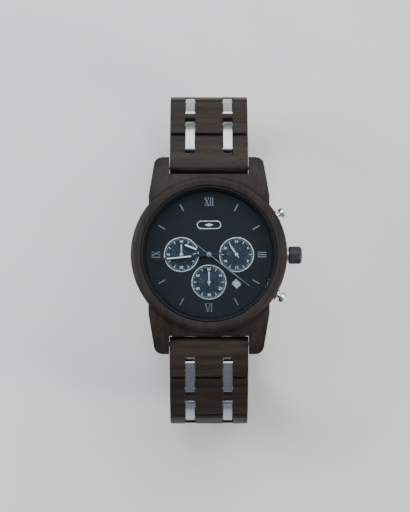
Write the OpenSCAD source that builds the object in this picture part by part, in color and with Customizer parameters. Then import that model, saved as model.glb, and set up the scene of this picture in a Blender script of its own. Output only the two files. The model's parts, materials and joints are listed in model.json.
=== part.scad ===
// Chronograph wristwatch with a wooden case and a bracelet of wooden links joined by steel bars.
// X runs towards the crown, Y towards 12 o'clock, Z up through the crystal. The closed bracelet
// stands on the flat of its clasp, and the origin is on that flat, under the middle of the dial.

/* [Case] */
// Outer radius of the wooden case
case_r = 22.5; // [21:0.5:25]
// Height of the wooden case body
case_h = 8.2; // [8:0.1:10]
// Radius of the glass
crystal_r = 19.0; // [18:0.1:19]
// Width of the gap between the lugs
lug_gap = 23.1; // [22:0.1:24]
// Distance from the middle of the dial to the lug tips
lug_reach = 28.6; // [28:0.1:31]

/* [Dial] */
// Distance of the small dials from the middle
eye_offset = 7.95; // [7.5:0.05:8.1]
// Outer radius of a small dial's rim
eye_r = 5.15; // [4:0.05:5.2]
// Clock angle of the hour hand
hour_angle = 292; // [0:1:359]
// Clock angle of the minute hand
minute_angle = 264; // [0:1:359]
// Clock angle of the central chronograph hand
chrono_angle = 128; // [0:1:359]
// Clock angle of the 24-hour hand
day_angle = 326; // [0:1:359]

/* [Bracelet] */
// Width of a wooden link
link_w = 22.7; // [20:0.1:22.8]
// Length of a wooden link
link_l = 12.1; // [11.8:0.1:12.2]
// Width of a steel bar
bar_w = 2.6; // [2:0.1:2.8]
// Distance of each bar from the middle of the bracelet
bar_x = 5.5; // [4:0.1:7]

/* [Hidden] */
$fn = 64;

// Slope of each wooden link below the horizontal, from the lug down to the clasp
slope = [12, 34, 82, 108, 148, 176];
// From the spring bar to the first pin, and from the first pin of a link to its second
end_pin = 5.7;
pin_step = 4.5;
// Between the two pins of a bar
bar_l = 8;
pin_r = 0.5;
bore_r = 0.55;
press_r = 0.52;
pin_len = link_w - 0.4;
slot_w = bar_w + 0.4;
slot_end = 1.65;
link_top = 1.7;
link_top_end = 1.0;
link_low = -1.5;
bar_end_r = 1.2;
bar_top = 1.8;
spring_bar_y = 25.6;
spring_bar_r = 0.6;
spring_bore_r = 0.65;
clasp_pin_z = 2.4;

// Places of the pins, worked out link by link as [y, z] steps from the spring bar
function way(a, l) = [l * cos(a), -l * sin(a)];
function bar_slope(k) = (slope[k - 1] + slope[k]) / 2;
function pin_out(k) = k == 0 ? way(slope[0], end_pin) : pin_in(k) + way(slope[k], pin_step);
function pin_in(k) = pin_out(k - 1) + way(bar_slope(k), bar_l);
drop = -pin_out(5)[1];
lug_z = clasp_pin_z + drop;
clasp_y = spring_bar_y + pin_out(5)[0];
function place(p) = [0, spring_bar_y + p[0], lug_z + p[1]];

// Heights in the case, counted from the outside of the case back
base_z = lug_z - 3.4;
wood_z = 0.8;
seat_z = 6.2;
dial_z = 6.3;
dial_t = 0.4;
dial_top = dial_z + dial_t;
wood_top = wood_z + case_h;
crystal_z = 9.3;
crystal_t = 1.6;
stem_z = 4.3;
cavity_r = 17;
dial_bore_r = 19;
pusher_angle = 30;
// Screws of the case back: their circle, and their clock angles
screw_circle_r = 17.8;
screw_r = 0.3;
screw_clocks = [45:90:315];
// Stem, crown and pushers, measured out from the middle of the case
stem_r = 0.55;
stem_bore_r = 0.8;
tube_bore_r = 0.75;
crown_r = 2.6;
crown_x = 23.05;
crown_end_x = 26.4;
pusher_cap_r = 1.45;
pusher_cap_x = 25;
// Battery cell and the pins of the small dials' hands
cell_at = [-6.5, 6];
cell_r = 4.75;
pin_hole_r = 0.35;
hand_t = 0.15;

module lift() { translate([0, 0, base_z]) children(); }
module ring(outer, inner, h) {
    difference() {
        cylinder(r = outer, h = h, $fn = 128);
        translate([0, 0, -1]) cylinder(r = inner, h = h + 2, $fn = 128);
    }
}
// A cylinder lying along X, centred on the origin
module rod(r, l) { rotate([0, 90, 0]) cylinder(r = r, h = l, center = true, $fn = 32); }
// A cylinder along X from x0 to x1, at the height of the stem
module stem_rod(r, x0, x1) {
    translate([x0, 0, stem_z]) rotate([0, 90, 0]) cylinder(r = r, h = x1 - x0, $fn = 48);
}
module at_pusher(side) { rotate([0, 0, side * pusher_angle]) children(); }
// Turns a shape drawn along +Y to a clock angle
module clock(a) { rotate([0, 0, -a]) children(); }

// ---- case ----
module lug_plan() {
    tip = 15.9;
    root = 17.4;
    corner_r = 2.4;
    corner = [for (a = [0:15:90])
        [tip + corner_r * (cos(a) - 1), lug_reach + corner_r * (sin(a) - 1)]];
    difference() {
        union() for (m = [0, 1]) mirror([m, 0, 0])
            polygon(concat([[-1, 0], [root, 0], [root, 17]], corner, [[-1, lug_reach]]));
        translate([-lug_gap / 2, 23.3]) square([lug_gap, 10]);
    }
}
// Side view of a lug, which falls from the case towards its tip
module lug_side() {
    polygon([[0, wood_z], [lug_reach - 2, wood_z], [lug_reach, 2], [lug_reach, 4.2],
             [lug_reach - 1.5, 5.9], [lug_reach - 4, 7.4], [21, 8.4], [17, wood_top], [0, wood_top]]);
}
module lugs() {
    for (turn = [0, 180]) rotate([0, 0, turn]) intersection() {
        linear_extrude(12) lug_plan();
        translate([-20, 0, 0]) rotate([90, 0, 90]) linear_extrude(40) lug_side();
    }
}
module case_body() {
    rotate_extrude($fn = 128) polygon([[0, wood_z], [case_r - 1.6, wood_z], [case_r - 0.5, 2.2],
        [case_r, 4], [case_r, wood_top], [0, wood_top]]);
}
module case_middle() {
    color("#33231b") lift() difference() {
        union() { case_body(); lugs(); }
        translate([0, 0, -1]) cylinder(r = 18.6, h = 2.4, $fn = 128);
        translate([0, 0, 1]) cylinder(r = cavity_r, h = 6, $fn = 128);
        translate([0, 0, seat_z]) cylinder(r = dial_bore_r, h = 5, $fn = 128);
        stem_rod(1.55, 16, 26);
        for (side = [-1, 1]) at_pusher(side) stem_rod(1.3, 16, 26);
        for (side = [-1, 1]) translate([0, side * spring_bar_y, lug_z - base_z])
            rod(spring_bore_r, lug_gap + 3);
        for (a = screw_clocks) clock(a) translate([0, screw_circle_r, 0])
            cylinder(r = screw_r, h = 3.2, $fn = 24);
    }
}
module bezel_ring() {
    color("#2c1e17") lift() rotate_extrude($fn = 128)
        polygon([[19.5, wood_top], [case_r, wood_top], [case_r, 9.7], [case_r - 0.3, 10.2],
                 [case_r - 0.9, 10.6], [case_r - 1.7, 10.75], [20.1, 10.75], [19.5, 10.5]]);
}
module crystal() {
    color([0.75, 0.82, 0.9, 0.35]) lift() translate([0, 0, crystal_z]) {
        cylinder(r = crystal_r, h = crystal_t - 0.3, $fn = 128);
        translate([0, 0, crystal_t - 0.3])
            cylinder(r1 = crystal_r, r2 = crystal_r - 0.3, h = 0.3, $fn = 128);
    }
}
module crystal_gasket() {
    color("#101010") lift() translate([0, 0, crystal_z]) ring(19.45, crystal_r + 0.05, 1.2);
}
// The sloping wall between the dial and the glass
module inner_flange() {
    color("#0c0d10") lift() rotate_extrude($fn = 128)
        polygon([[18.2, dial_top], [18.95, dial_top], [18.95, crystal_z - 0.05], [18.6, crystal_z - 0.05]]);
}

// ---- dial ----
eye_places = [[-eye_offset, 0], [eye_offset, 0], [0, -eye_offset]];
date_at = [7.9, -8.4];
module dial_plate() {
    color("#0d1014") lift() difference() {
        translate([0, 0, dial_z]) cylinder(r = 18.9, h = dial_t, $fn = 128);
        translate([0, 0, 0]) cylinder(r = 1.05, h = 9);
        for (p = eye_places) translate([p[0], p[1], 0]) {
            cylinder(r = pin_hole_r, h = 9, $fn = 24);
            translate([0, 0, dial_top - 0.15]) cylinder(r = eye_r - 0.05, h = 1);
        }
        translate([date_at[0], date_at[1], 5]) rotate([0, 0, -45]) cube([1.8, 1.5, 6], center = true);
    }
}
module hour_markers() {
    color("#8d9299") lift() for (h = [1, 2, 4, 5, 7, 8, 10, 11]) clock(30 * h)
        translate([-0.15, 14.6, dial_top]) cube([0.3, 2.2, 0.25]);
}
// A plain rounded frame with a lozenge in it
module dial_emblem() {
    frame_w = 4.6;
    module bar_shape(r) {
        square([frame_w, 2 * r], center = true);
        for (x = [-1, 1]) translate([x * frame_w / 2, 0]) circle(r = r, $fn = 48);
    }
    color("#d5dade") lift() translate([0, 8.6, dial_top]) linear_extrude(0.22) {
        difference() { bar_shape(1.2); bar_shape(0.95); }
        polygon([[-1.3, 0], [0, -0.5], [1.3, 0], [0, 0.5]]);
    }
}
module eye_rims() {
    color("#c8ced4") lift() for (p = eye_places)
        translate([p[0], p[1], dial_top - 0.15]) ring(eye_r - 0.1, eye_r - 0.4, 0.4);
}
module date_disc() {
    color("#e8e8e4") lift() translate([0, 0, 5.95]) ring(13.4, 9.8, 0.2);
}

// ---- movement ----
module movement_holder() {
    color("#d9d4c4") lift() difference() {
        translate([0, 0, 2.5]) ring(16.9, 14.2, 3.6);
        stem_rod(stem_bore_r, 12, 18);
    }
}
module main_plate() {
    color("#b08a3e") lift() difference() {
        translate([0, 0, 2.6]) cylinder(r = 14.1, h = 3.2, $fn = 96);
        translate([cell_at[0], cell_at[1], 0]) cylinder(r = cell_r + 0.1, h = 5.2);
        translate([0, 0, 3.6]) cylinder(r = 1, h = 9);
        for (p = eye_places) translate([p[0], p[1], 4.4]) cylinder(r = pin_hole_r, h = 9, $fn = 24);
        stem_rod(stem_bore_r, 8.5, 18);
    }
}
module battery_cell() {
    color("#c9ccd0") lift() translate([cell_at[0], cell_at[1], 2.6]) cylinder(r = cell_r, h = 2.1);
}
module case_back() {
    color("#aeb3b8") lift() difference() {
        union() {
            cylinder(r = 18.5, h = 1.4, $fn = 128);
            translate([0, 0, 1.4]) cylinder(r = 16.4, h = 0.9, $fn = 128);
        }
        for (a = screw_clocks) clock(a) translate([0, screw_circle_r, -1])
            cylinder(r = screw_r + 0.05, h = 5, $fn = 24);
    }
}
module back_gasket() {
    color("#151515") lift() translate([0, 0, 1.4]) ring(16.95, 16.45, 0.6);
}
module back_screws() {
    color("#c4c8cc") lift() for (a = screw_clocks) clock(a) translate([0, screw_circle_r, 0]) {
        cylinder(r = screw_r, h = 3.05, $fn = 24);
        difference() {
            translate([0, 0, -0.25]) cylinder(r = 0.6, h = 0.25, $fn = 24);
            translate([0, 0, -0.25]) cube([1.6, 0.16, 0.24], center = true);
        }
    }
}

// ---- crown and pushers ----
module crown_tube() {
    color("#b9bec3") lift() difference() {
        union() { stem_rod(1.5, 18, 22.4); stem_rod(1.9, 22.6, 23); stem_rod(1.5, 22.3, 22.7); }
        stem_rod(tube_bore_r, 15, 25);
    }
}
module winding_stem() {
    color("#9aa0a6") lift() stem_rod(stem_r, 9.5, 26);
}
module crown() {
    color("#2b2c2f") lift() difference() {
        union() {
            stem_rod(crown_r, crown_x, crown_end_x);
            translate([crown_end_x, 0, stem_z]) rotate([0, 90, 0])
                cylinder(r1 = crown_r, r2 = crown_r - 0.6, h = 0.5, $fn = 48);
        }
        stem_rod(stem_r + 0.05, 22, 26.15);
    }
}
module pusher_tubes() {
    color("#c4c9ce") lift() for (side = [-1, 1]) at_pusher(side) difference() {
        union() { stem_rod(1.25, 19.5, 22.5); stem_rod(1.8, 22.55, 22.95); stem_rod(1.25, 22.4, 22.6); }
        stem_rod(tube_bore_r, 15, 25);
    }
}
module pusher(side) {
    color("#d3d8dc") lift() at_pusher(side) {
        stem_rod(0.7, 18.4, 23.9);
        stem_rod(pusher_cap_r, 23.8, pusher_cap_x);
        translate([pusher_cap_x, 0, stem_z]) rotate([0, 90, 0])
            cylinder(r1 = pusher_cap_r, r2 = pusher_cap_r - 0.3, h = 0.3, $fn = 48);
    }
}
module spring_bars() {
    color("#b4b9be") lift() for (side = [-1, 1])
        translate([0, side * spring_bar_y, lug_z - base_z]) rod(spring_bar_r, lug_gap + 2.4);
}

// ---- hands ----
module blade(length, wide, tail) {
    linear_extrude(hand_t) polygon([[-wide / 4, -tail], [wide / 4, -tail], [wide / 2, length * 0.6],
        [wide / 4, length * 0.86], [0.08, length], [-0.08, length], [-wide / 4, length * 0.86],
        [-wide / 2, length * 0.6]]);
}
// A hand on a pipe or pin that reaches down to low_z
module hand(angle, z, length, wide, tail, hub_r, pipe_r, low_z, hole_r) {
    color("#16181b") lift() clock(angle) difference() {
        union() {
            translate([0, 0, z]) blade(length, wide, tail);
            translate([0, 0, z]) cylinder(r = hub_r, h = hand_t);
            translate([0, 0, low_z]) cylinder(r = pipe_r, h = z + 0.05 - low_z);
        }
        if (hole_r > 0) translate([0, 0, low_z - 1]) cylinder(r = hole_r, h = 9);
    }
}
module hour_hand() { hand(hour_angle, 7.35, 9.4, 1.1, 2.4, 1.15, 0.95, 5.9, 0.62); }
module minute_hand() { hand(minute_angle, 7.75, 15.8, 1.0, 3.2, 1.0, 0.55, 4.8, 0.32); }
module chrono_hand() { hand(chrono_angle, 8.15, 14.9, 0.34, 4.4, 0.7, 0.25, 3.9, 0); }
module eye_hand(place, angle) {
    translate([place[0], place[1], 0]) hand(angle, 6.95, 3.9, 0.5, 1.1, 0.5, 0.25, 4.7, 0);
}

// ---- bracelet ----
// Draws in the frame of one arm: the 12 o'clock arm as it is, the 6 o'clock arm turned half round
module arm(side) { rotate([0, 0, side == 12 ? 0 : 180]) children(); }
module at(p, a) { translate(place(p)) rotate([-a, 0, 0]) children(); }
// Side view of a wooden link: crowned outside, flat and narrower inside
module link_side(low_y, high_y) {
    mid = (low_y + high_y) / 2;
    half = (high_y - low_y) / 2;
    crown = [for (i = [0:8]) let(t = i / 4 - 1)
        [mid + half * t, link_top_end + (link_top - link_top_end) * (1 - t * t)]];
    polygon(concat([[low_y + 0.5, link_low], [low_y, link_low + 0.7]], crown,
                   [[high_y, link_low + 0.7], [high_y - 0.5, link_low]]));
}
module slot(y0, y1) {
    for (x = [-bar_x, bar_x]) translate([x - slot_w / 2, y0, -5]) cube([slot_w, y1 - y0, 10]);
}
// Link 2 to 6, drawn with its first pin at the origin
module wooden_link(side, n) {
    reach = (link_l - pin_step) / 2;
    color("#35251c") arm(side) at(pin_in(n - 1), slope[n - 1]) difference() {
        translate([-link_w / 2, 0, 0]) rotate([90, 0, 90]) linear_extrude(link_w)
            link_side(-reach, pin_step + reach);
        slot(-reach - 1, slot_end);
        slot(pin_step - slot_end, pin_step + reach + 1);
        rod(bore_r, link_w + 2);
        translate([0, pin_step, 0]) rod(bore_r, link_w + 2);
    }
}
// Link 1 sits between the lugs and is rounded about the spring bar. Its slots start well short of
// its pin, so the rounded end of each bar shows at the bottom of a dark notch.
module end_link(side) {
    notch_y = 3.6;
    end_y = 9.5;
    boss_r = 2.05;
    color("#35251c") arm(side) at([0, 0], slope[0]) difference() {
        union() {
            rod(boss_r, link_w);
            translate([-link_w / 2, 0, 0]) rotate([90, 0, 90]) linear_extrude(link_w)
                polygon([[0, -boss_r], [end_y - 0.7, link_low], [end_y, link_low + 0.7],
                         [end_y, link_top_end], [end_y - 0.5, 1.3], [7, link_top + 0.05],
                         [4.5, 2.1], [2, 2.15], [0, boss_r]]);
        }
        slot(notch_y, end_y + 1);
        rod(spring_bore_r, link_w + 2);
        translate([0, end_pin, 0]) rod(bore_r, link_w + 2);
    }
}
// Side view of a steel bar, with an arched top that is highest halfway between its pins
module bar_side() {
    arch = [for (i = [0:8]) let(t = 1 - i / 4)
        [bar_l / 2 * (1 + t), bar_end_r + (bar_top - bar_end_r) * (1 - t * t)]];
    polygon(concat([[0, -bar_end_r], [bar_l, -bar_end_r]], arch));
}
// Two steel bars and the two pins pressed through them
module bar_set(side, n) {
    color("#c6ccd1") arm(side) at(pin_out(n - 1), bar_slope(n)) {
        for (x = [-bar_x, bar_x]) translate([x, 0, 0]) difference() {
            union() {
                for (y = [0, bar_l]) translate([0, y, 0]) rod(bar_end_r, bar_w);
                translate([-bar_w / 2, 0, 0]) rotate([90, 0, 90]) linear_extrude(bar_w) bar_side();
            }
            for (y = [0, bar_l]) translate([0, y, 0]) rod(press_r, bar_w + 2);
        }
        for (y = [0, bar_l]) translate([0, y, 0]) rod(pin_r, pin_len);
    }
}

// ---- clasp ----
clasp_half = clasp_y - 4.2;
blade_w = 14;
fold_y = 17.4;
fold_z = 2.6;
cover_hinge_z = 1.7;
knuckle_r = 0.85;
fold_pin_r = 0.35;
mid_knuckle = 3.4;
cover_w = 21.4;
button_y = 6;
module knuckle(r, x0, x1) { translate([(x0 + x1) / 2, 0, 0]) rod(r, x1 - x0); }
module side_knuckles(r) { for (m = [0, 1]) mirror([m, 0, 0]) knuckle(r, mid_knuckle + 0.2, blade_w / 2); }
module at_fold() { translate([0, fold_y, fold_z]) children(); }
module at_cover_hinge() { translate([0, -fold_y, cover_hinge_z]) children(); }
module clasp_inner_blade() {
    color("#c9ced3") difference() {
        union() {
            translate([-blade_w / 2, -clasp_half, 2.75]) cube([blade_w, clasp_half + fold_y, 0.7]);
            at_fold() side_knuckles(knuckle_r);
            for (x = [-bar_x, bar_x]) {
                translate([x, -clasp_y, clasp_pin_z]) rod(bar_end_r, bar_w);
                translate([x - bar_w / 2, -clasp_y, 2.75]) cube([bar_w, 5, 0.7]);
            }
        }
        at_fold() knuckle(knuckle_r + 0.2, -mid_knuckle - 0.1, mid_knuckle + 0.1);
        at_fold() rod(fold_pin_r + 0.02, 30);
        translate([0, -clasp_y, clasp_pin_z]) rod(press_r, 30);
    }
}
module clasp_middle_blade() {
    color("#bcc2c7") difference() {
        union() {
            translate([-blade_w / 2 + 0.5, -fold_y, 1.8]) cube([blade_w - 1, 2 * fold_y, 0.65]);
            at_fold() knuckle(knuckle_r, -mid_knuckle + 0.1, mid_knuckle - 0.1);
            at_cover_hinge() knuckle(0.75, -mid_knuckle + 0.1, mid_knuckle - 0.1);
        }
        at_fold() side_knuckles(knuckle_r + 0.2);
        at_cover_hinge() side_knuckles(0.95);
        at_fold() rod(0.42, 30);
        at_cover_hinge() rod(0.42, 30);
    }
}
module clasp_cover() {
    color("#cfd4d8") difference() {
        union() {
            translate([-cover_w / 2, -clasp_half + 0.3, 0]) cube([cover_w, 2 * clasp_half - 0.6, 1]);
            for (m = [0, 1]) mirror([m, 0, 0])
                translate([cover_w / 2 - 1, -clasp_half + 0.3, 0]) cube([1, 2 * clasp_half - 0.6, 3.3]);
            at_cover_hinge() side_knuckles(0.75);
            for (x = [-bar_x, bar_x]) translate([x - bar_w / 2, clasp_half - 1, 0.2]) cube([bar_w, 4, 0.8]);
        }
        at_cover_hinge() knuckle(0.95, -mid_knuckle, mid_knuckle);
        at_cover_hinge() rod(fold_pin_r + 0.02, blade_w + 0.4);
        translate([0, button_y, 2]) rod(0.85, 30);
    }
}
module clasp_end_pin() {
    color("#b4b9be") translate([0, -clasp_y, clasp_pin_z]) rod(pin_r, pin_len);
}
// The pin that the cover's short lugs hook under, held by the last link of the 12 o'clock arm
module clasp_loose_pin() {
    color("#b4b9be") translate([0, clasp_y, clasp_pin_z]) rod(pin_r, pin_len);
}
module clasp_fold_pin() { color("#b4b9be") at_fold() rod(fold_pin_r, blade_w); }
module clasp_cover_pin() { color("#b4b9be") at_cover_hinge() rod(fold_pin_r, blade_w); }
module clasp_button(m) {
    color("#dfe3e6") mirror([m, 0, 0]) translate([0, button_y, 2]) rotate([0, 90, 0]) {
        translate([0, 0, 8.6]) cylinder(r = 0.8, h = 3.4, $fn = 32);
        translate([0, 0, 11.6]) cylinder(r = 1.3, h = 0.6, $fn = 32);
    }
}

case_middle();
bezel_ring();
crystal();
crystal_gasket();
inner_flange();
dial_plate();
hour_markers();
dial_emblem();
eye_rims();
date_disc();
movement_holder();
main_plate();
battery_cell();
case_back();
back_gasket();
back_screws();
spring_bars();
crown_tube();
pusher_tubes();
winding_stem();
crown();
pusher(1);  // pusher_2
pusher(-1);  // pusher_4
hour_hand();
minute_hand();
chrono_hand();
eye_hand(eye_places[2], 0);  // small_seconds_hand
eye_hand(eye_places[0], 0);  // chrono_minutes_hand
eye_hand(eye_places[1], day_angle);  // day_hand
end_link(12);  // link12_1
wooden_link(12, 2);  // link12_2
wooden_link(12, 3);  // link12_3
wooden_link(12, 4);  // link12_4
wooden_link(12, 5);  // link12_5
wooden_link(12, 6);  // link12_6
bar_set(12, 1);  // bars12_1
bar_set(12, 2);  // bars12_2
bar_set(12, 3);  // bars12_3
bar_set(12, 4);  // bars12_4
bar_set(12, 5);  // bars12_5
end_link(6);  // link6_1
wooden_link(6, 2);  // link6_2
wooden_link(6, 3);  // link6_3
wooden_link(6, 4);  // link6_4
wooden_link(6, 5);  // link6_5
wooden_link(6, 6);  // link6_6
bar_set(6, 1);  // bars6_1
bar_set(6, 2);  // bars6_2
bar_set(6, 3);  // bars6_3
bar_set(6, 4);  // bars6_4
bar_set(6, 5);  // bars6_5
clasp_inner_blade();
clasp_middle_blade();
clasp_cover();
clasp_end_pin();
clasp_fold_pin();
clasp_cover_pin();
clasp_loose_pin();
clasp_button(1);  // clasp_button_left
clasp_button(0);  // clasp_button_right
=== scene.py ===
# %% [markdown]
# # A wooden chronograph on a bracelet of wood and steel
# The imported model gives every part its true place, so this lesson only has to make the watch look
# like wood, steel, lacquer and glass. Lengths in Blender are metres. A watch is small, so every
# measure below is written in millimetres and multiplied by MM.

# %% Load the frame
import json
import math

import bmesh
import bpy
from mathutils import Matrix, Vector


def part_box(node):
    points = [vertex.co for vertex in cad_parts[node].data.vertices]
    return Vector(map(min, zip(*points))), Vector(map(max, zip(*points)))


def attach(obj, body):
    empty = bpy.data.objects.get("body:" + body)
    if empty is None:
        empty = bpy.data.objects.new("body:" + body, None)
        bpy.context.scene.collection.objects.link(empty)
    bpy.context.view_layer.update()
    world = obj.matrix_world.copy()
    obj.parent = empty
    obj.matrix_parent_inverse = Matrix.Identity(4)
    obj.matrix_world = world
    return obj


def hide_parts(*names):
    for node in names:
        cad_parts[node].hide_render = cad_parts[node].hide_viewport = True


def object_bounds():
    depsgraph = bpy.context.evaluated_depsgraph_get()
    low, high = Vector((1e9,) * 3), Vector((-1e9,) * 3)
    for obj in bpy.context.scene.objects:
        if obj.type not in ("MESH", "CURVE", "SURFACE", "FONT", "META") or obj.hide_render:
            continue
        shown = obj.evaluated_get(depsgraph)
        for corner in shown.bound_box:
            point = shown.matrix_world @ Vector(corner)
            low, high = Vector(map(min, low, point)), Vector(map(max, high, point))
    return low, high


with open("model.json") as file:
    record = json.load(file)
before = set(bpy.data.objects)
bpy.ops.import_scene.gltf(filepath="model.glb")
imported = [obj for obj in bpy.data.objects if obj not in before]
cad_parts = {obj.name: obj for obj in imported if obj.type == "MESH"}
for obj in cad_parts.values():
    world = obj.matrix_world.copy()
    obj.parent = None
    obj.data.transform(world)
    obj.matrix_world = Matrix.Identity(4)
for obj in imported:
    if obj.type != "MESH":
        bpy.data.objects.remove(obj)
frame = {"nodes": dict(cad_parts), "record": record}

MM = 0.001
nodes = frame["nodes"]
bodies = frame["record"]["behaviour"]["bodies"]
slots = {row["node"]: row["material_slot"] for row in frame["record"]["subparts"]}
cad_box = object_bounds()
print("CAD box:", [[round(v, 4) for v in corner] for corner in cad_box])

# %% [markdown]
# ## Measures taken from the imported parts
# Everything on the dial sits on one of a few heights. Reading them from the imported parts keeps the
# thin printed layers in place if the case is ever made thicker.

# %% Heights that the dial work needs
dial_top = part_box("dial_plate")[1][2]
eye_floor = dial_top - 0.15 * MM
crystal_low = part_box("crystal")[0][2]
eye_offset = 7.95 * MM
eye_radius = 4.7 * MM
eyes = {"left": (-eye_offset, 0), "right": (eye_offset, 0), "low": (0, -eye_offset)}
print("room over the dial, mm:", round((crystal_low - dial_top) / MM, 2))

# %% [markdown]
# ## Shader maths as plain sums
# A material in Blender is a web of nodes. Wiring each Math node by hand hides the idea, so this
# class wraps one socket and lets Python's own operators add the nodes. Every other node comes from
# `make`, which takes its type, its settings and what goes into its sockets.

# %% A socket that can be added and multiplied
class Shade:
    """One output socket, with ordinary arithmetic."""

    def __init__(self, tree, socket):
        self.tree, self.socket = tree, socket

    def make(self, kind, settings, inputs, output=0):
        node = self.tree.nodes.new("ShaderNode" + kind)
        for key, value in settings.items():
            if key == "stops":
                for n, (place, grey) in enumerate(value):
                    stop = node.color_ramp.elements[n]
                    stop.position, stop.color = place, (grey, grey, grey, 1)
            else:
                setattr(node, key, value)
        for key, value in inputs.items():
            if isinstance(value, Shade):
                self.tree.links.new(value.socket, node.inputs[key])
            elif value is not None:
                node.inputs[key].default_value = value
        return Shade(self.tree, node.outputs[output])

    def maths(self, operation, a, b=None):
        return self.make("Math", {"operation": operation}, {0: a, 1: b})

    def __add__(self, other):
        return self.maths("ADD", self, other)

    def __radd__(self, other):
        return self.maths("ADD", other, self)

    def __sub__(self, other):
        return self.maths("SUBTRACT", self, other)

    def __rsub__(self, other):
        return self.maths("SUBTRACT", other, self)

    def __mul__(self, other):
        return self.maths("MULTIPLY", self, other)

    def __rmul__(self, other):
        return self.maths("MULTIPLY", other, self)

    def noise(self, scale, detail=4):
        return self.make("TexNoise", {}, {"Vector": self, "Scale": scale, "Detail": detail})

    def ramp(self, low, high):
        return self.make("ValToRGB", {"stops": [(low, 0), (high, 1)]}, {0: self})

    def colour(self, dark, light):
        """Mixes two colours by this value."""
        inputs = {0: self, 6: (*dark, 1), 7: (*light, 1)}
        return self.make("Mix", {"data_type": "RGBA"}, inputs, output=2)

    def bump(self, height_mm, strength=1.0):
        return self.make("Bump", {}, {"Height": self, "Distance": height_mm * MM, "Strength": strength})


def finish(name, build, **constants):
    """A material whose varying sockets come from build(place), and whose others are constants."""
    material = bpy.data.materials.new(name)
    material.use_nodes = True
    tree = material.node_tree
    shader = tree.nodes["Principled BSDF"]
    for key, value in constants.items():
        shader.inputs[key.replace("_", " ")].default_value = value
    coordinates = tree.nodes.new("ShaderNodeTexCoord")
    for key, value in build(Shade(tree, coordinates.outputs["Object"])).items():
        tree.links.new(value.socket, shader.inputs[key])
    return material


def stretched(place, scale, centre=(0, 0, 0)):
    """Object coordinates with their own scale on each axis, for grain and brushing."""
    inputs = {"Vector": place, "Scale": scale, "Location": [-c * s for c, s in zip(centre, scale)]}
    return place.make("Mapping", {}, inputs)

# %% [markdown]
# ## Dark oiled wood
# The case and links are a near-black hardwood. What tells the eye that it is wood is not its
# colour but its fibres: long streaks of slightly warmer brown, short open pores, and a satin oil
# that lies unevenly. All three are noises squeezed across the grain. The links and the case take
# different grain directions, as they are sawn from different boards.

# %% Wood
def wood(name, along, dark, light):
    """Wood with its grain along one axis. Streaks are long because that axis is scaled least."""
    slow, fast = 55, 620
    scale = tuple(slow if axis == along else fast for axis in "XYZ")

    def build(place):
        grain = stretched(place, scale)
        fibre = grain.noise(1.0, 6)
        board = grain.noise(0.16, 3)
        pores = stretched(place, tuple(3.2 * s for s in scale)).noise(1.0, 2).ramp(0.60, 0.70)
        tone = (fibre * 0.65 + board * 0.6).ramp(0.42, 0.86)
        shade = tone * (1 - pores * 0.75)
        return {
            "Base Color": shade.colour(dark, light),
            "Roughness": 0.44 + fibre * 0.16 + pores * 0.22,
            "Normal": (fibre * 0.35 - pores).bump(0.045, 0.55),
        }
    return finish(name, build, Specular_IOR_Level=0.20)


link_wood = wood("link_wood", "X", (0.0050, 0.0036, 0.0030), (0.034, 0.0215, 0.0155))
case_wood = wood("case_wood", "Y", (0.0045, 0.0033, 0.0028), (0.028, 0.0180, 0.0135))
bezel_wood = wood("bezel_wood", "Y", (0.0040, 0.0030, 0.0026), (0.023, 0.0150, 0.0115))
print("woods:", link_wood.name, case_wood.name, bezel_wood.name)

# %% [markdown]
# ## Steel
# Brushed steel is polished steel with thousands of fine scratches in one direction. They widen
# the highlight and break it up, so the roughness follows a noise squeezed along the brushing, and
# a slight bump does the rest. Handled edges and broad faces also differ a little in how dull they
# have become, which a second, large noise adds.

# %% Steels
def steel(name, colour, rough, along="Y", scratch=0.004, metal=1.0):
    scale = tuple(260 if axis == along else 9000 for axis in "XYZ")

    def build(place):
        lines = stretched(place, scale).noise(1.0, 3)
        wear = place.noise(140, 3)
        darker = tuple(0.72 * c for c in colour)
        return {
            "Base Color": (lines * 0.6 + wear * 0.5).ramp(0.3, 0.8).colour(darker, colour),
            "Roughness": rough + lines * 0.10 + wear * 0.08,
            "Normal": lines.bump(scratch, 0.4),
        }
    return finish(name, build, Metallic=metal)


polished_steel = steel("polished_steel", (0.44, 0.48, 0.51), 0.16, "X", 0.004)
brushed_steel = steel("brushed_steel", (0.42, 0.44, 0.46), 0.32)
clasp_steel = steel("clasp_steel", (0.44, 0.46, 0.48), 0.28)
pin_steel = steel("pin_steel", (0.55, 0.57, 0.59), 0.24, "X")
pusher_steel = steel("pusher_steel", (0.78, 0.81, 0.84), 0.12, "X")
screw_steel = steel("screw_steel", (0.62, 0.64, 0.66), 0.22, "X")
black_steel = steel("black_steel", (0.060, 0.062, 0.068), 0.26, "X")
bright_metal = steel("bright_metal", (0.86, 0.89, 0.92), 0.12, "X", 0.001)
marker_grey = steel("marker_grey", (0.20, 0.23, 0.27), 0.24, "X", 0.001)
brass_plate = steel("brass_plate", (0.62, 0.47, 0.22), 0.30, "X")
hand_black = steel("hand_black", (0.020, 0.022, 0.026), 0.24, "X", 0.001, 0.6)
hand_silver = steel("hand_silver", (0.74, 0.78, 0.82), 0.14, "X", 0.001)

# %% [markdown]
# ## Lacquer, rubber and print
# The dial is matt black lacquer, which is never quite even. Rubber and moulded plastic get a fine
# tooth.

# %% Coated and moulded finishes
def coated(name, dark, light, rough, grain_scale, height_mm, **constants):
    def build(place):
        tooth = place.noise(grain_scale, 4)
        patch = place.noise(grain_scale * 0.04, 2)
        return {
            "Base Color": (tooth * 0.5 + patch * 0.5).ramp(0.3, 0.7).colour(dark, light),
            "Roughness": rough + tooth * 0.12,
            "Normal": tooth.bump(height_mm, 0.4),
        }
    return finish(name, build, **constants)


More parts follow.
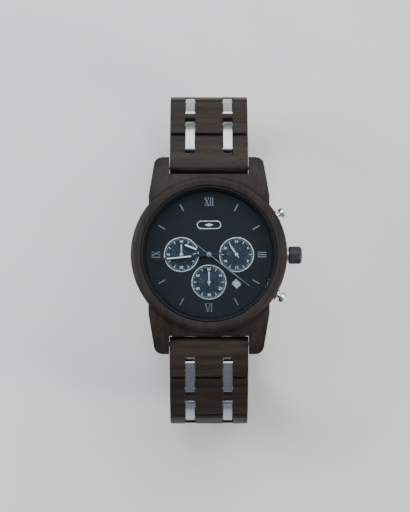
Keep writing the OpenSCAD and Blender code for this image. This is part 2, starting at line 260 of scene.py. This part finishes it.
dial_black = coated("dial_black", (0.0020, 0.0026, 0.0038), (0.0044, 0.0058, 0.0082), 0.46, 5200, 0.0008,
                    Specular_IOR_Level=0.20)
flange_black = coated("flange_black", (0.0020, 0.0023, 0.0030), (0.0040, 0.0046, 0.0058), 0.5, 4000, 0.004,
                      Specular_IOR_Level=0.20)
rubber = coated("rubber", (0.006, 0.006, 0.006), (0.014, 0.014, 0.014), 0.62, 3000, 0.006)
holder_plastic = coated("holder_plastic", (0.60, 0.57, 0.49), (0.70, 0.67, 0.59), 0.42, 2500, 0.005)
date_white = coated("date_white", (0.70, 0.70, 0.68), (0.80, 0.80, 0.78), 0.45, 4000, 0.002)
print_light = coated("print_light", (0.52, 0.58, 0.64), (0.66, 0.72, 0.78), 0.50, 6000, 0.001)
print_black = coated("print_black", (0.01, 0.01, 0.012), (0.02, 0.02, 0.022), 0.50, 6000, 0.001)
lume = coated("lume", (0.60, 0.67, 0.70), (0.76, 0.83, 0.86), 0.42, 5000, 0.003)

# %% [markdown]
# ## Crystal glass
# The crystal is a flat sheet of clear glass. Real refraction would cost much noise for no
# visible gain on a flat sheet, so it is a transparent shader with a thin gloss over it. A Layer
# Weight node decides how much of each is seen, and a limit on the gloss keeps the dial readable
# from low down.

# %% Crystal glass
def clear_glass(name):
    """See-through when faced squarely, with a thin gloss that grows as the sheet turns away."""
    material = bpy.data.materials.new(name)
    material.use_nodes = True
    tree = material.node_tree
    tree.nodes.remove(tree.nodes["Principled BSDF"])
    gloss = tree.nodes.new("ShaderNodeBsdfGlossy")
    clear = tree.nodes.new("ShaderNodeBsdfTransparent")
    mix = tree.nodes.new("ShaderNodeMixShader")
    facing = tree.nodes.new("ShaderNodeLayerWeight")
    share = tree.nodes.new("ShaderNodeMapRange")
    gloss.inputs["Roughness"].default_value = 0.02
    clear.inputs["Color"].default_value = (0.94, 0.97, 1.0, 1)
    facing.inputs["Blend"].default_value = 0.22
    share.inputs["To Min"].default_value = 0.006
    share.inputs["To Max"].default_value = 0.06
    tree.links.new(facing.outputs["Facing"], share.inputs["Value"])
    tree.links.new(share.outputs[0], mix.inputs[0])
    tree.links.new(clear.outputs[0], mix.inputs[1])
    tree.links.new(gloss.outputs[0], mix.inputs[2])
    tree.links.new(mix.outputs[0], tree.nodes["Material Output"].inputs["Surface"])
    return material


glass = clear_glass("glass")
print("finishes made:", len(bpy.data.materials))

# %% [markdown]
# ## The small dials' sunray
# The three small dials are turned: a tool leaves fine rings round each centre, and blue-grey
# lacquer over them makes bright streaks that follow the light. The rings are real relief here, a sine
# of the distance from the centre fed to a Bump node, so those streaks come from the lamp. A fainter
# set is painted sheen: a noise read along the angle only lightens the colour in radial streaks.

# %% Sunray lacquer
def sunray(name, centre):
    def build(place):
        flat = stretched(place, (1, 1, 0), (*centre, 0))
        x = flat.make("SeparateXYZ", {}, {0: flat}, 0)
        y = flat.make("SeparateXYZ", {}, {0: flat}, 1)
        angle = x.maths("ARCTAN2", y, x)
        distance = x.maths("SQRT", x * x + y * y)
        # painted sheen: a noise read along the angle lightens the colour in bright radial streaks
        painted_ray_sheen = angle.make("TexNoise", {"noise_dimensions": "1D"}, {"W": angle, "Scale": 9.0, "Detail": 4.0})
        grooves = x.maths("SINE", distance * (2 * math.pi / (0.16 * MM)))
        return {
            "Base Color": painted_ray_sheen.ramp(0.3, 0.72).colour((0.0035, 0.0050, 0.0075), (0.034, 0.049, 0.066)),
            "Roughness": 0.27 + painted_ray_sheen * 0.12,
            "Normal": grooves.bump(0.012, 0.8),
        }
    return finish(name, build, Metallic=0.75)


eye_finish = {side: sunray("sunray_" + side, centre) for side, centre in eyes.items()}

# %% [markdown]
# ## Easing the edges of machined parts
# No real edge is a perfect corner: wood is sanded and steel is tumbled, and the thin highlight on
# that small round is most of what makes a part look real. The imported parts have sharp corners, so
# each visible one is copied, its triangles are merged into plain faces, and a small bevel goes on
# every edge that turns sharply. Short edges, such as those round a pin hole, are left alone,
# because a bevel there would eat the hole.

# %% Piece helpers
def body_of(node):
    return next(body for body, names in bodies.items() if node in names)


def keep_piece(bm, name, body, material, stands_for=(), sharp=38):
    """Turns a bmesh into a finished piece that rides on a body."""
    limit = math.radians(sharp)
    for face in bm.faces:
        face.smooth = True
    for edge in bm.edges:
        edge.smooth = edge.is_manifold and edge.calc_face_angle(0) < limit
    mesh = bpy.data.meshes.new(name)
    bm.to_mesh(mesh)
    bm.free()
    piece = bpy.data.objects.new(name, mesh)
    bpy.context.scene.collection.objects.link(piece)
    mesh.materials.append(material)
    normals = piece.modifiers.new("normals", "WEIGHTED_NORMAL")
    normals.keep_sharp = True
    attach(piece, body)
    if stands_for:
        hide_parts(*stands_for)
    return piece


def eased(node, width_mm, material, segments=2, shortest_mm=0.45, turn=33):
    """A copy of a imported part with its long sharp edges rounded."""
    bm = bmesh.new()
    bm.from_mesh(nodes[node].data)
    bmesh.ops.remove_doubles(bm, verts=bm.verts, dist=0.0005 * MM)
    bmesh.ops.dissolve_limit(bm, angle_limit=math.radians(0.6), verts=bm.verts, edges=bm.edges)
    sharp = [e for e in bm.edges if e.is_manifold and e.calc_length() > shortest_mm * MM
             and e.calc_face_angle(0) > math.radians(turn)]
    bmesh.ops.bevel(bm, geom=sharp, offset=width_mm * MM, offset_type="OFFSET", segments=segments,
                    profile=0.5, affect="EDGES", clamp_overlap=True, material=-1)
    return keep_piece(bm, node + "_eased", body_of(node), material, [node])


def block(bm, centre, size, turn=0.0):
    """A box of the given size in mm, centred at x, y in mm and z in metres, turned about Z."""
    matrix = (Matrix.Translation([c * MM for c in centre[:2]] + [centre[2]])
              @ Matrix.Rotation(math.radians(turn), 4, "Z") @ Matrix.Diagonal([s * MM for s in size] + [1]))
    return bmesh.ops.create_cube(bm, size=1.0, matrix=matrix)["verts"]


def lathe(profile, steps, closed=True):
    """Spins a profile of (radius, height) points in mm about Z."""
    bm = bmesh.new()
    points = [bm.verts.new((r * MM, 0, z * MM)) for r, z in profile]
    pairs = list(zip(points, points[1:] + points[:1])) if closed else list(zip(points, points[1:]))
    edges = [bm.edges.new(pair) for pair in pairs]
    bmesh.ops.spin(bm, geom=points + edges, cent=(0, 0, 0), axis=(0, 0, 1), angle=2 * math.pi,
                   steps=steps, use_merge=True)
    bmesh.ops.remove_doubles(bm, verts=bm.verts, dist=0.001 * MM)
    bmesh.ops.recalc_face_normals(bm, faces=bm.faces)
    return bm

# %% [markdown]
# ## The bracelet
# Each wooden link is sanded round on every edge a wrist would feel. The steel bars that join them
# are polished, and a crisper, narrower round keeps them looking like metal.

# %% Links and bars
for node in nodes:
    if node.startswith("link"):
        eased(node, 0.22, link_wood)
    elif node.startswith("bars"):
        eased(node, 0.16, polished_steel)

# %% [markdown]
# ## Case and clasp
# The case is cut from one block of wood, lugs and all, and sanded after turning. The clasp is
# folded from steel sheet, so its edges are only broken, not rounded.

# %% Case, clasp and buttons
eased("case_middle", 0.35, case_wood, 3, 0.6, 28)
eased("clasp_cover", 0.22, clasp_steel)
eased("clasp_inner_blade", 0.10, brushed_steel)
eased("clasp_middle_blade", 0.10, brushed_steel)
for node in ("pusher_2", "pusher_4", "clasp_button_left", "clasp_button_right"):
    eased(node, 0.09, pusher_steel, 2, 0.05)
eased("pusher_tubes", 0.06, pusher_steel, 2, 0.05)

# %% [markdown]
# ## The bezel
# The ring round the glass is turned wood: flat on top, falling away in a soft shoulder. A lathe
# shape is a profile spun about an axis, and its shoulder is a quarter round worked out by angle.

# %% Bezel ring
bezel_low, bezel_high = [corner[2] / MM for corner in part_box("bezel_ring")]
case_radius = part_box("bezel_ring")[1][0] / MM
shoulder, shoulder_drop = 1.5, 1.25
arc = [(case_radius - shoulder + shoulder * math.cos(t),
        bezel_high - shoulder_drop + shoulder_drop * math.sin(t))
       for t in (math.pi / 2 * n / 10 for n in range(11))]
bezel_profile = ([(19.5, bezel_low), (case_radius, bezel_low)] + arc
                 + [(20.0, bezel_high), (19.75, bezel_high - 0.07), (19.55, bezel_high - 0.25)])
keep_piece(lathe(bezel_profile, 160), "bezel_turned", "watch_head", bezel_wood,
           ["bezel_ring"])
trim = [(19.02, bezel_high - 0.75), (19.44, bezel_high - 0.75), (19.44, bezel_high + 0.02),
        (19.36, bezel_high + 0.08), (19.14, bezel_high + 0.08), (19.02, bezel_high + 0.02)]
keep_piece(lathe(trim, 160), "crystal_trim", "watch_head", flange_black)
print("bezel profile points:", len(bezel_profile))

# %% [markdown]
# ## The crown
# A crown is knurled so that wet fingers can turn it. Diamond knurling is two sets of helical
# grooves that cross. The grip is spun as a fine grid, and each of its points moves in by how close
# it lies to a groove, so the diamonds are real relief and catch the light along their edges.

# %% Knurled crown
crown_low, crown_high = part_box("crown")
grip_r = (crown_high[2] - crown_low[2]) / 2 / MM
crown_len = (crown_high[0] - crown_low[0]) / MM
diamonds = 26


def knurl(angle, height):
    """How far in, from 0 to 1, a point of the grip lies below the tips of the diamonds."""
    along = angle * diamonds / (2 * math.pi)
    across = height / 0.62
    return max(abs((value % 1) * 2 - 1) for value in (along + across, along - across))


rows = 26
grip = [(grip_r, 0.3 + (crown_len - 0.95) * n / rows) for n in range(rows + 1)]
crown_profile = ([(0, 0), (grip_r - 0.35, 0)] + grip
                 + [(grip_r - 0.25, crown_len - 0.4), (grip_r - 0.6, crown_len - 0.12), (1.2, crown_len),
                    (0, crown_len)])
crown_bm = lathe(crown_profile, diamonds * 8, closed=False)
for vert in crown_bm.verts:
    radius = math.hypot(vert.co.x, vert.co.y)
    if radius > (grip_r - 0.01) * MM:
        depth = 0.26 * MM * knurl(math.atan2(vert.co.y, vert.co.x), vert.co.z / MM)
        vert.co.xy *= (radius - depth) / radius
crown_place = Matrix.Translation((crown_low[0], 0, (crown_low[2] + crown_high[2]) / 2))
crown_place = crown_place @ Matrix.Rotation(math.pi / 2, 4, "Y")
bmesh.ops.transform(crown_bm, verts=crown_bm.verts, matrix=crown_place)
keep_piece(crown_bm, "crown_knurled", "crown", black_steel, ["crown"], sharp=60)

# %% [markdown]
# ## Numerals of thin bars
# The dial carries four roman numerals as applied strips of dark metal. They face outwards, but
# the lowest one is turned round so that it reads upright. They are so plain that each is a few
# blocks: straight strokes for I, leaning ones for V and X, and a thin foot and head on every
# stroke for the serifs.

# %% Roman numerals
numeral_r, numeral_h, stroke = 15.3, 2.3, 0.26
applique = 0.10 * MM


def glyph(letter):
    """Strokes of a letter as (lean in mm across its height, offset in mm), and its width."""
    return {"I": ([(0, 0)], 0.62), "V": ([(0.7, -0.36), (-0.7, 0.36)], 1.45),
            "X": ([(-1.2, 0), (1.2, 0)], 1.5)}[letter]


def roman(bm, word, clock):
    width = sum(glyph(letter)[1] for letter in word)
    start = -width / 2
    made = []
    for letter in word:
        strokes, advance = glyph(letter)
        middle = start + advance / 2
        for lean, offset in strokes:
            tilt = math.degrees(math.atan2(lean, numeral_h))
            long = math.hypot(lean, numeral_h)
            thick = stroke if tilt >= 0 else stroke * 0.6
            made += block(bm, (middle + offset, numeral_r, dial_top + applique / 2),
                          (thick, long, applique / MM), tilt)
        for foot in (-1, 1):
            made += block(bm, (middle, numeral_r + foot * numeral_h / 2, dial_top + applique / 2),
                          (advance * 0.92, 0.09, applique / MM))
        start += advance
    if clock == 180:
        half_turn = Matrix.Rotation(math.pi, 3, "Z")
        bmesh.ops.rotate(bm, verts=made, cent=(0, numeral_r * MM, 0), matrix=half_turn)
    to_hour = Matrix.Rotation(-math.radians(clock), 3, "Z")
    bmesh.ops.rotate(bm, verts=made, cent=(0, 0, 0), matrix=to_hour)


numerals = bmesh.new()
for word, clock in (("XII", 0), ("III", 90), ("VI", 180), ("IX", 270)):
    roman(numerals, word, clock)
print("numeral faces:", len(numerals.faces))
keep_piece(numerals, "roman_numerals", "watch_head", marker_grey)

# %% [markdown]
# ## Printed scales
# Pad printing lays a film of paint a few hundredths of a millimetre thick. Each mark is a very
# flat block, and each number is text made into a mesh. Only the small dials carry a printed scale.

# %% Ticks and numbers
film = 0.02 * MM


def ring_of_ticks(bm, centre, radius, count, long, thick, z, skip):
    """Adds count ticks round a centre, apart from those whose number skip says yes to."""
    for n in range(count):
        if not skip(n):
            turn = 360 * n / count
            x = centre[0] / MM + radius * math.sin(math.radians(turn))
            y = centre[1] / MM + radius * math.cos(math.radians(turn))
            block(bm, (x, y, z + film / 2), (thick, long, film / MM), -turn)


def number(bm, text, x, y, z, height, turn=0.0):
    """Adds a printed number, centred at x, y in mm."""
    curve = bpy.data.curves.new("figure", "FONT")
    curve.body, curve.size = text, height * 1.35 * MM
    curve.align_x, curve.align_y = "CENTER", "CENTER"
    curve.extrude, curve.resolution_u = film / 2, 3
    writer = bpy.data.objects.new("figure", curve)
    bpy.context.scene.collection.objects.link(writer)
    depsgraph = bpy.context.evaluated_depsgraph_get()
    solid = bpy.data.meshes.new_from_object(writer.evaluated_get(depsgraph))
    place = Matrix.Translation((x * MM, y * MM, z + film / 2))
    solid.transform(place @ Matrix.Rotation(math.radians(turn), 4, "Z"))
    bm.from_mesh(solid)
    bpy.data.objects.remove(writer)
    bpy.data.meshes.remove(solid)


print("film thickness, mm:", round(film / MM, 3))

# %% [markdown]
# ## Small dials
# Each small dial is a lathed disc with a shallow groove round its middle part. The disc takes the
# sunray lacquer, and a printed scale with its own numbers lies on top.

# %% Small dials
eye_words = {"left": ["60", "15", "30", "45"], "right": ["24", "4", "8", "12", "16", "20"],
             "low": ["60", "10", "20", "30", "40", "50"]}
word_r, word_height = 3.75, 0.78
for side, centre in eyes.items():
    words = eye_words[side]
    outer = eye_radius / MM
    face = [(0, 0), (outer, 0), (outer, 0.05), (3.05, 0.05), (2.98, 0.03), (2.9, 0.03), (2.8, 0.06),
            (0, 0.06)]
    bm = lathe(face, 96, closed=False)
    bmesh.ops.translate(bm, verts=bm.verts, vec=(*centre, eye_floor + 0.005 * MM))
    keep_piece(bm, "small_dial_" + side, "watch_head", eye_finish[side])
    scale = bmesh.new()
    top = eye_floor + 0.066 * MM
    apart = 12 // len(words)
    ring_of_ticks(scale, centre, 4.42, 60, 0.26, 0.06, top, lambda n: n % 5 == 0)
    ring_of_ticks(scale, centre, 4.0, 12, 0.8, 0.13, top, lambda n: n % apart == 0)
    for n, word in enumerate(words):
        angle = math.radians(360 * n / len(words))
        x = centre[0] / MM + word_r * math.sin(angle)
        y = centre[1] / MM + word_r * math.cos(angle)
        number(scale, word, x, y, top, word_height)
    keep_piece(scale, "scale_" + side, "watch_head", print_light)
print("small dials:", list(eyes))

# %% [markdown]
# ## Date
# The window is cut between four and five, and a thin bright frame finishes its edge. The number
# rides on the date disc, so it travels when the disc turns.

# %% Date window
date_at, date_turn = (7.9, -8.4), -45
frame_bm = bmesh.new()
for dx, dy, sx, sy in ((0, 0.87, 2.2, 0.16), (0, -0.87, 2.2, 0.16),
                       (1.02, 0, 0.16, 1.9), (-1.02, 0, 0.16, 1.9)):
    turned = Vector((dx, dy)) @ Matrix.Rotation(-math.radians(date_turn), 2)
    middle = (date_at[0] + turned.x, date_at[1] + turned.y, dial_top + 0.04 * MM)
    block(frame_bm, middle, (sx, sy, 0.08), date_turn)
keep_piece(frame_bm, "date_frame", "watch_head", bright_metal)
figures = bmesh.new()
number(figures, "24", *date_at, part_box("date_disc")[1][2] + 0.001 * MM, 1.15, date_turn)
keep_piece(figures, "date_figures", "date_disc", print_black)

# %% [markdown]
# ## Inlays of the hands
# The hour and minute hands are black with a pale strip let into each blade. The strip is a thin
# block with bevelled edges, laid on the blade and turned to the same clock angle.

# %% Hands
def inlay(name, clock, start, end, wide):
    """A pale strip on a hand, from start to end in mm along it."""
    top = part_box(name)[1][2]
    bm = bmesh.new()
    block(bm, (0, (start + end) / 2, top + 0.02 * MM), (wide, end - start, 0.06))
    bmesh.ops.bevel(bm, geom=bm.edges[:], offset=0.02 * MM, segments=2, profile=0.5,
                    affect="EDGES", material=-1)
    to_clock = Matrix.Rotation(-math.radians(clock), 3, "Z")
    bmesh.ops.rotate(bm, verts=bm.verts, cent=(0, 0, 0), matrix=to_clock)
    keep_piece(bm, name + "_inlay", body_of(name), lume)


hour_clock, minute_clock = 292, 264
inlay("hour_hand", hour_clock, 3.9, 7.4, 0.42)
inlay("minute_hand", minute_clock, 5.2, 12.2, 0.34)
cap_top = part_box("chrono_hand")[1][2] / MM
cap = [(0, cap_top), (0.5, cap_top), (0.5, cap_top + 0.12), (0.38, cap_top + 0.22), (0, cap_top + 0.26)]
keep_piece(lathe(cap, 48, closed=False), "hand_cap", "chrono_hand", marker_grey)

# %% [markdown]
# ## Finishes for the parts that keep their imported shape
# The rest of the parts are already right. Each takes its finish by the name of its material slot
# in the record, so a part that is added later needs no new line here. Only the chrono hand is given
# marker grey in place of its slot's finish.

# %% Give every imported part its finish
by_slot = {"link_wood": link_wood, "case_wood": case_wood, "bezel_wood": bezel_wood, "glass": glass,
           "polished_steel": polished_steel, "brushed_steel": brushed_steel, "clasp_steel": clasp_steel,
           "pin_steel": pin_steel, "pusher_steel": pusher_steel, "screw_steel": screw_steel,
           "cell_steel": brushed_steel, "black_steel": black_steel, "bright_metal": bright_metal,
           "marker_grey": marker_grey, "hand_black": hand_black, "hand_silver": hand_silver,
           "rubber": rubber, "flange_black": flange_black, "dial_black": dial_black,
           "date_white": date_white, "holder_plastic": holder_plastic, "brass_plate": brass_plate}
for node, part in nodes.items():
    part.data.materials.clear()
    part.data.materials.append(marker_grey if node == "chrono_hand" else by_slot[slots[node]])
print("packed parts with a finish:", len(nodes))

# %% [markdown]
# ## Light and floor
# Metal shows only what it reflects, so the lamps are large and soft: a broad one overhead to
# lift the glass and the dial, a cool one from upper left that draws the edges, and a low strip
# that runs along the bars. The floor is plain and pale.

# %% Studio
floor_bm = bmesh.new()
bmesh.ops.create_grid(floor_bm, x_segments=1, y_segments=1, size=4.0)
floor_mesh = bpy.data.meshes.new("floor")
floor_bm.to_mesh(floor_mesh)
floor_bm.free()
floor = bpy.data.objects.new("floor", floor_mesh)
bpy.context.scene.collection.objects.link(floor)
floor.location.z = cad_box[0][2] - 0.0002
floor_mesh.materials.append(coated("floor_paint", (0.60, 0.60, 0.60), (0.64, 0.64, 0.63), 0.6, 40, 0.01))

target = Vector((-1.15 * MM, -0.4 * MM, dial_top))


def lamp(name, place, size, power, tint):
    light = bpy.data.lights.new(name, "AREA")
    light.shape, light.size, light.size_y = "RECTANGLE", *size
    light.energy, light.color = power, tint
    holder = bpy.data.objects.new(name, light)
    bpy.context.scene.collection.objects.link(holder)
    holder.location = place
    holder.rotation_euler = (target - Vector(place)).to_track_quat("-Z", "Y").to_euler()


lamp("overhead", (0.10, 0.42, 0.62), (1.0, 0.8), 8.5, (0.93, 0.97, 1.0))
lamp("left", (-0.55, 0.12, 0.34), (0.30, 0.45), 5.0, (0.90, 0.96, 1.0))
lamp("right_strip", (0.50, -0.22, 0.26), (0.12, 0.50), 3.0, (1.0, 0.97, 0.94))
world = bpy.context.scene.world or bpy.data.worlds.new("studio")
bpy.context.scene.world = world
world.use_nodes = True
world.node_tree.nodes["Background"].inputs[0].default_value = (0.80, 0.86, 0.92, 1)
world.node_tree.nodes["Background"].inputs[1].default_value = 0.32

# %% [markdown]
# ## The camera
# The watch is seen almost straight from above. A long lens far away keeps the near end of the
# bracelet from looking larger than the far end.

# %% Camera
tilt = math.radians(4.0)
distance, view_height = 0.62, 147.7 * MM
lens = bpy.data.cameras.new("camera")
lens.sensor_width = 36.0
lens.lens = 36.0 * distance / view_height
lens.clip_start = 0.01
camera = bpy.data.objects.new("camera", lens)
bpy.context.scene.collection.objects.link(camera)
camera.location = target + Vector((0, -math.sin(tilt), math.cos(tilt))) * distance
camera.rotation_euler = (tilt, 0, 0)
bpy.context.scene.camera = camera
print("camera lens, mm:", round(lens.lens, 1))
